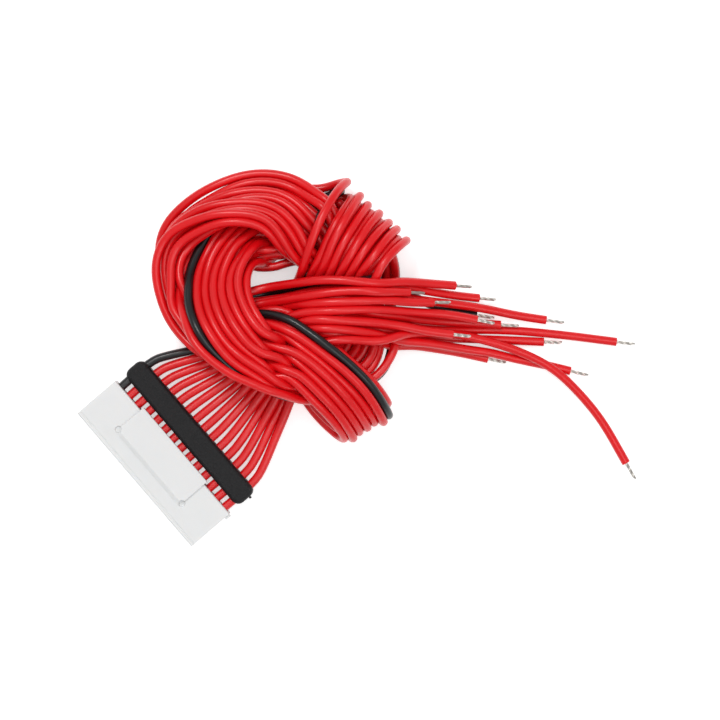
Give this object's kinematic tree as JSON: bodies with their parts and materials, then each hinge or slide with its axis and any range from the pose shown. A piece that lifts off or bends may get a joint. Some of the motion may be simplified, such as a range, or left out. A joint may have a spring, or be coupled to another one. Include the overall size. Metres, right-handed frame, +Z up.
{
  "type": "battery balance wire harness",
  "caption": "Balance sampling harness for a battery pack: a white crimp plug, a black wire comb and a bundle of silicone-soft wires tied in a loose knot, with stripped tinned ends.",
  "frame": {"origin": "under the middle of the plug housing and the wire comb, on the surface that they lie on", "axes": "+X along the row of ways from the black wire to the last red one, +Y the way the wires leave the comb, +Z up"},
  "size_m": [0.1026, 0.0966, 0.0184],
  "materials": {
    "housing_nylon": "natural white nylon, moulded, slightly translucent",
    "comb_plastic": "black, finely textured",
    "red_insulation": "extruded soft insulation, satin",
    "black_insulation": "extruded soft insulation, satin",
    "tinned_strands": "tinned twisted strands",
    "contact_metal": "tinned stamped sheet"
  },
  "bodies": {
    "root": {"plug_housing": "housing_nylon", "wire_comb": "comb_plastic", "wire_black": "black_insulation", "wire_red_01": "red_insulation", "wire_red_02": "red_insulation", "wire_red_03": "red_insulation", "wire_red_04": "red_insulation", "wire_red_05": "red_insulation", "wire_red_06": "red_insulation", "wire_red_07": "red_insulation", "wire_red_08": "red_insulation", "wire_red_09": "red_insulation", "wire_red_10": "red_insulation", "wire_red_11": "red_insulation", "wire_red_12": "red_insulation", "wire_red_13": "red_insulation", "tip_black": "tinned_strands", "tip_red_01": "tinned_strands", "tip_red_02": "tinned_strands", "tip_red_03": "tinned_strands", "tip_red_04": "tinned_strands", "tip_red_05": "tinned_strands", "tip_red_06": "tinned_strands", "tip_red_07": "tinned_strands", "tip_red_08": "tinned_strands", "tip_red_09": "tinned_strands", "tip_red_10": "tinned_strands", "tip_red_11": "tinned_strands", "tip_red_12": "tinned_strands", "tip_red_13": "tinned_strands", "contact_black": "contact_metal", "contact_red_01": "contact_metal", "contact_red_02": "contact_metal", "contact_red_03": "contact_metal", "contact_red_04": "contact_metal", "contact_red_05": "contact_metal", "contact_red_06": "contact_metal", "contact_red_07": "contact_metal", "contact_red_08": "contact_metal", "contact_red_09": "contact_metal", "contact_red_10": "contact_metal", "contact_red_11": "contact_metal", "contact_red_12": "contact_metal", "contact_red_13": "contact_metal"}
  },
  "joints": []
}
